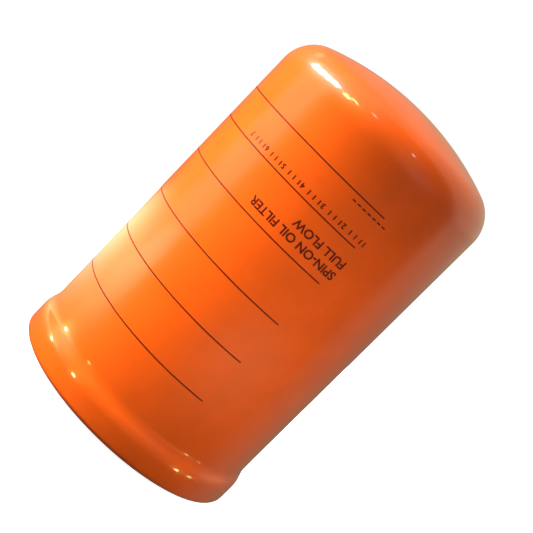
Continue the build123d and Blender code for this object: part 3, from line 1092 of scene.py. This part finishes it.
def make_tube():
    element = bpy.context.scene.oil_filter.element
    middle = tube_high.x - element.tube_wall / 2
    width = 2 * pi * middle / element.tube_columns
    height = (tube_high.z - tube_low.z) / element.tube_rows
    sizes = {
        "Rows": element.tube_rows,
        "Columns": element.tube_columns,
        "Width": width,
        "Height": height,
        "Foot": tube_low.z,
        "Radius": middle,
        "Material": finish_for("tinplate"),
    }
    tile = perforated_tile(width, height, element.tube_hole, sides=32)
    piece = grown("perforated_tube", trees["tube"], sizes, tile)
    tidied(piece, merge=0.01 * MM)
    wall = piece.modifiers.new("wall", "SOLIDIFY")
    wall.thickness, wall.offset = element.tube_wall, 0.0
    tidied(applied(piece))
    return placed(piece, "element", "tinned_sheet", "centre_tube")


def make_spring(name, node, body, wire, turns):
    """Wind a spring in its CAD node's place and fix it to a body."""
    low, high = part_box(node)
    sizes = {
        "Radius": high.x - wire / 2,
        "Wire": wire / 2,
        "Turns": turns,
        "Dead": bpy.context.scene.oil_filter.element.dead_turns,
        "Foot": low.z + wire / 2,
        "Top": high.z - wire / 2,
        "Steps": 48,
        "Sides": 16,
        "Material": finish_for("wire"),
    }
    piece = placed(tidied(grown(name, trees["coil"], sizes), sharp=50.0), body, "spring_steel", node)
    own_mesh(piece)


def make_springs():
    sizes = bpy.context.scene.oil_filter.element
    wire, turns = sizes.support_wire, sizes.support_turns
    make_spring("holding_spring", "support_spring", "can", wire, turns)
    wire, turns = sizes.bypass_wire, sizes.bypass_turns
    make_spring("relief_spring", "bypass_spring", "element", wire, turns)


def finish_nodes():
    """Give each CAD node that stays its own finish."""
    kept = {
        "inlet_end_cap": "tinplate",
        "dome_end_cap": "tinplate",
        "inlet_potting": "resin",
        "dome_potting": "resin",
        "media_seam_clip": "tinplate",
        "pleat_beads": "hot_melt",
        "bypass_cage": "zinc",
        "bypass_seat": "turned_steel",
        "bypass_poppet": "turned_steel",
        "bypass_poppet_seal": "nitrile",
        "spring_seat": "zinc",
    }
    for node, finish in kept.items():
        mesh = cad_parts[node].data
        mesh.materials.clear()
        mesh.materials.append(finish_for(finish))


# ---- stage ---------------------------------------------------------------------------------


def toward(azimuth, elevation):
    """The direction at an azimuth from the front (-Y) towards +X and an elevation, in degrees."""
    a, e = radians(azimuth), radians(elevation)
    return Vector((sin(a) * cos(e), -cos(a) * cos(e), sin(e)))


def lamp(name, place, target, size, power, tint="#ffffff", mirrored=True, spread=180):
    """A rectangular area light that faces a target; mirrored says if the gloss shows it."""
    light = bpy.data.lights.new(name, "AREA")
    light.shape, light.spread = "RECTANGLE", radians(spread)
    light.size, light.size_y = size
    light.energy, light.color = power, linear(tint)
    holder = bpy.data.objects.new(name, light)
    holder.location = place
    holder.rotation_mode = "QUATERNION"
    holder.rotation_quaternion = (place - target).to_track_quat("Z", "Y")
    holder.visible_camera = False
    holder.visible_glossy = mirrored
    bpy.context.scene.collection.objects.link(holder)


def softbox(name, azimuth, elevation, distance, width, height, power, tint="#ffffff", mirrored=True):
    """A lamp that faces the middle of the filter from a direction and a distance."""
    middle = Vector((0, 0, can_high.z / 2))
    place = middle + toward(azimuth, elevation) * distance
    lamp(name, place, middle, (width, height), power, tint, mirrored)


def seam_lamp(name, azimuth, height, power, tint):
    """A tiny lamp close to the floor whose narrow beam meets the rolled seam at a height."""
    clear, rise, side, beam = 43 * MM, 6 * MM, 5 * MM, 11
    # the spot that mirrors the lamp lies nearer the front than the lamp does
    spot = toward(0.64 * azimuth, 0) * can_high.x + Vector((0, 0, height))
    place = toward(azimuth, 0) * (can_high.x + clear) + Vector((0, 0, rise))
    lamp(name, place, spot, (side, side), power, tint, spread=beam)


def disc(name, across, along, segments):
    """A flat round or oval part of the stage, from its two radii."""
    work = bmesh.new()
    bmesh.ops.create_circle(work, cap_ends=True, segments=segments, radius=1.0)
    bmesh.ops.scale(work, vec=(across, along, 1.0), verts=work.verts)
    mesh = bpy.data.meshes.new(name)
    work.to_mesh(mesh)
    work.free()
    patch = bpy.data.objects.new(name, mesh)
    bpy.context.scene.collection.objects.link(patch)
    return patch


def glow(name, azimuth, distance, across, along, strength, tint):
    """A bright patch of the floor that fades to its edge, seen by the gloss and not by the camera."""
    patch = disc(name, across, along, 48)
    patch.location = toward(azimuth, 0) * distance + Vector((0, 0, 0.5 * MM))
    patch.rotation_euler = (0, 0, radians(azimuth))
    patch.visible_camera = patch.visible_shadow = False
    material = bpy.data.materials.new(name)
    patch.data.materials.append(material)
    tree = emptied(material)
    place = add(tree, "ShaderNodeTexCoord").outputs["Object"]
    even = add(tree, "ShaderNodeMapping", {"Vector": place, "Scale": (1 / across, 1 / along, 1.0)})
    out = add(tree, "ShaderNodeVectorMath", {0: even}, operation="LENGTH").outputs["Value"]
    fall = {"Value": out, "From Min": 1.0, "From Max": 0.0, "To Max": strength}
    fade = add(tree, "ShaderNodeMapRange", fall, interpolation_type="SMOOTHERSTEP")
    light = add(tree, "ShaderNodeEmission", {"Color": (*linear(tint), 1), "Strength": fade})
    clear = add(tree, "ShaderNodeBsdfTransparent")
    both = add(tree, "ShaderNodeAddShader", {0: clear, 1: light})
    add(tree, "ShaderNodeOutputMaterial", {"Surface": both})


def make_floor(studio):
    """A round pale floor under the gasket."""
    floor = disc("studio_floor", studio.floor_radius, studio.floor_radius, 96)
    floor.visible_diffuse = floor.visible_glossy = False
    bright = {"Emission Strength": 0.95, "Emission Color": (1, 1, 1, 1)}
    matt = {"Roughness": 0.9, "Specular IOR Level": 0.2}
    material, tree, shader = surface("matt_white_board", {**matt, **bright})
    pale = tuple(studio.floor_colour)
    tinted(tree, shader, grain(tree, 60 * MM), shade(pale, 0.99), pale)
    floor.data.materials.append(material)


def make_world(studio):
    """A surround that lights from behind and is dim in front; the camera sees plain white."""
    world = bpy.data.worlds.new("white_surround")
    bpy.context.scene.world = world
    tree = emptied(world)
    place = add(tree, "ShaderNodeTexCoord")
    way = add(tree, "ShaderNodeSeparateXYZ", {0: place.outputs["Generated"]})
    sideways = {"Value": way.outputs["X"], "From Min": -1.0, "From Max": 1.0}
    level = {"To Min": studio.left_surround, "To Max": studio.right_surround}
    back = add(tree, "ShaderNodeMapRange", {**sideways, **level})
    upright = {"Value": way.outputs["Z"], "From Min": -0.15, "From Max": 0.1, "To Max": back}
    low = add(tree, "ShaderNodeMath", {0: back, 1: studio.low_share}, operation="MULTIPLY")
    level = {"To Min": low}
    risen = add(tree, "ShaderNodeMapRange", {**upright, **level}, interpolation_type="SMOOTHSTEP")
    depth = {"Value": way.outputs["Y"], "From Min": -0.05, "From Max": 0.2, "To Max": risen}
    level = {"To Min": studio.front_surround}
    strength = add(tree, "ShaderNodeMapRange", {**depth, **level}, interpolation_type="SMOOTHSTEP")
    share = add(tree, "ShaderNodeMapRange", sideways)
    warm, soft, white = (*linear(studio.warm_white), 1), (*linear(studio.soft_white), 1), (1, 1, 1, 1)
    tint = add(tree, "ShaderNodeMix", {0: share, 6: warm, 7: soft}, data_type="RGBA")
    seen = add(tree, "ShaderNodeBackground", {"Color": white, "Strength": 1.1})
    cast = add(tree, "ShaderNodeBackground", {"Color": tint.outputs[2], "Strength": strength})
    ray = add(tree, "ShaderNodeLightPath")
    mixed = add(tree, "ShaderNodeMixShader", {0: ray.outputs["Is Camera Ray"], 1: cast, 2: seen})
    add(tree, "ShaderNodeOutputWorld", {"Surface": mixed})


def make_camera(studio):
    data = bpy.data.cameras.new("camera")
    data.lens, data.sensor_width = studio.camera_lens, 36.0
    data.clip_start, data.clip_end = 0.01, 20.0
    camera = bpy.data.objects.new("camera", data)
    spot = Matrix.Translation((studio.camera_side, -studio.camera_distance, studio.camera_height))
    tilt = Matrix.Rotation(radians(90) - studio.camera_dip, 4, "X")
    camera.matrix_world = spot @ tilt @ Matrix.Rotation(studio.camera_roll, 4, "Z")
    bpy.context.scene.collection.objects.link(camera)
    bpy.context.scene.camera = camera


def make_stage():
    studio = bpy.context.scene.oil_filter.studio
    bpy.context.scene.view_settings.view_transform = "Standard"
    make_camera(studio)
    make_floor(studio)
    make_world(studio)
    warm, yellow, white = studio.warm_white, studio.yellow_white, "#ffffff"
    # a softbox: azimuth and elevation in degrees, distance, width and height in metres, watts
    for fill in (
        ("key_softbox", -86, 8, 0.9, 0.5, 0.6, studio.key_power),
        ("front_fill", 40, 25, 1.2, 0.6, 0.6, studio.fill_power),
        ("right_fill", 110, 15, 1.2, 0.6, 0.6, 1.2),
        ("dome_fill", -95, 62, 1.2, 0.8, 0.8, 11),
    ):
        softbox(*fill, mirrored=False)
    above, foot = toward(15, 45) * 0.5, Vector((0, 0, 8 * MM))
    lamp("foot_fill", above, foot, (0.08, 0.04), 0.022, mirrored=False, spread=20)
    for i in range(4):
        softbox(f"window_pane_{i + 1}", -106 + 9 * i, 28 + 3.5 * i, 1.0, 0.16, 0.14, 2.0)
    for seen in (
        ("window_blind", -136, 31, 1.0, 0.24, 0.10, 0.08, warm),
        ("warm_lamp_1", -60, 41, 1.0, 0.13, 0.11, 1.4, yellow),
        ("warm_lamp_2", -53, 47, 1.0, 0.12, 0.05, 0.5, yellow),
        ("small_lamp_1", -34, 59, 1.0, 0.08, 0.05, 0.08, white),
        ("small_lamp_2", 34, 56, 1.0, 0.05, 0.05, 0.08, white),
    ):
        softbox(*seen)
    # a seam lamp: azimuth in degrees, height on the seam, microwatts
    seam_lamps = ((-71, 14.5, 60), (-37, 12, 30), (52, 12, 10), (64, 12, 5))
    for i, (azimuth, height, power) in enumerate(seam_lamps, 1):
        seam_lamp(f"seam_lamp_{i}", azimuth, height * MM, power * 1e-6, yellow)
    # a glow: azimuth in degrees, distance and the two radii in metres, strength
    glow("left_floor_streak", -80, 0.30, 0.13, 0.28, 2.4, warm)
    glow("left_floor_glow", -120, 0.30, 0.34, 0.30, 2.2, warm)
    glow("right_floor_glow", 40, 0.32, 0.34, 0.26, 0.6, warm)


# ---- add-on ----------------------------------------------------------------------------------


class OilFilterSettings(bpy.types.PropertyGroup):
    can: PointerProperty(type=CanSettings)
    printing: PointerProperty(type=PrintSettings)
    base: PointerProperty(type=BaseSettings)
    valve: PointerProperty(type=ValveSettings)
    element: PointerProperty(type=ElementSettings)
    studio: PointerProperty(type=StudioSettings)


class OILFILTER_OT_can(bpy.types.Operator):
    """Turn the painted can with its dome and rolled seam"""

    bl_idname = "oilfilter.can"
    bl_label = "Can"

    def execute(self, context):
        make_can()
        return {"FINISHED"}


class OILFILTER_OT_printing(bpy.types.Operator):
    """Print the lines, the generic lettering and the index marks"""

    bl_idname = "oilfilter.printing"
    bl_label = "Printing"

    def execute(self, context):
        make_lines()
        make_lettering()
        return {"FINISHED"}


class OILFILTER_OT_base(bpy.types.Operator):
    """Make the lid, its gasket, the threaded plate and the seam compound"""

    bl_idname = "oilfilter.base"
    bl_label = "Base"

    def execute(self, context):
        make_lid()
        make_gasket()
        make_plate()
        make_sealant()
        return {"FINISHED"}


class OILFILTER_OT_valve(bpy.types.Operator):
    """Mould the drain-back valve"""

    bl_idname = "oilfilter.valve"
    bl_label = "Drain-back valve"

    def execute(self, context):
        make_drainback_valve()
        return {"FINISHED"}


class OILFILTER_OT_element(bpy.types.Operator):
    """Fold the paper and roll the perforated tube"""

    bl_idname = "oilfilter.element"
    bl_label = "Element"

    def execute(self, context):
        make_pleats()
        make_tube()
        return {"FINISHED"}


class OILFILTER_OT_springs(bpy.types.Operator):
    """Wind the holding spring and the relief valve's spring"""

    bl_idname = "oilfilter.springs"
    bl_label = "Springs"

    def execute(self, context):
        make_springs()
        return {"FINISHED"}


class OILFILTER_OT_finishes(bpy.types.Operator):
    """Finish the pieces whose CAD shape stays"""

    bl_idname = "oilfilter.finishes"
    bl_label = "Finishes"

    def execute(self, context):
        finish_nodes()
        return {"FINISHED"}


class OILFILTER_OT_stage(bpy.types.Operator):
    """Set up the floor, the light and the camera"""

    bl_idname = "oilfilter.stage"
    bl_label = "Stage"

    def execute(self, context):
        make_stage()
        return {"FINISHED"}


operators = (
    OILFILTER_OT_can,
    OILFILTER_OT_printing,
    OILFILTER_OT_base,
    OILFILTER_OT_valve,
    OILFILTER_OT_element,
    OILFILTER_OT_springs,
    OILFILTER_OT_finishes,
    OILFILTER_OT_stage,
)


class OILFILTER_PT_panel(bpy.types.Panel):
    """Lists the filter's pieces"""

    bl_label = "Oil filter"
    bl_idname = "OILFILTER_PT_panel"
    bl_space_type = "VIEW_3D"
    bl_region_type = "UI"
    bl_category = "Oil filter"

    def draw(self, context):
        for each in operators:
            self.layout.operator(each.bl_idname)


groups = (
    CanSettings,
    PrintSettings,
    BaseSettings,
    ValveSettings,
    ElementSettings,
    StudioSettings,
    OilFilterSettings,
)


def register():
    for each in (*groups, *operators, OILFILTER_PT_panel):
        bpy.utils.register_class(each)
    bpy.types.Scene.oil_filter = PointerProperty(type=OilFilterSettings)


def unregister():
    del bpy.types.Scene.oil_filter
    for each in reversed((*groups, *operators, OILFILTER_PT_panel)):
        bpy.utils.unregister_class(each)


def main():
    register()
    bpy.ops.oilfilter.can()
    bpy.ops.oilfilter.printing()
    bpy.ops.oilfilter.base()
    bpy.ops.oilfilter.valve()
    bpy.ops.oilfilter.element()
    bpy.ops.oilfilter.springs()
    bpy.ops.oilfilter.finishes()
    bpy.ops.oilfilter.stage()


if __name__ == "__main__":
    main()
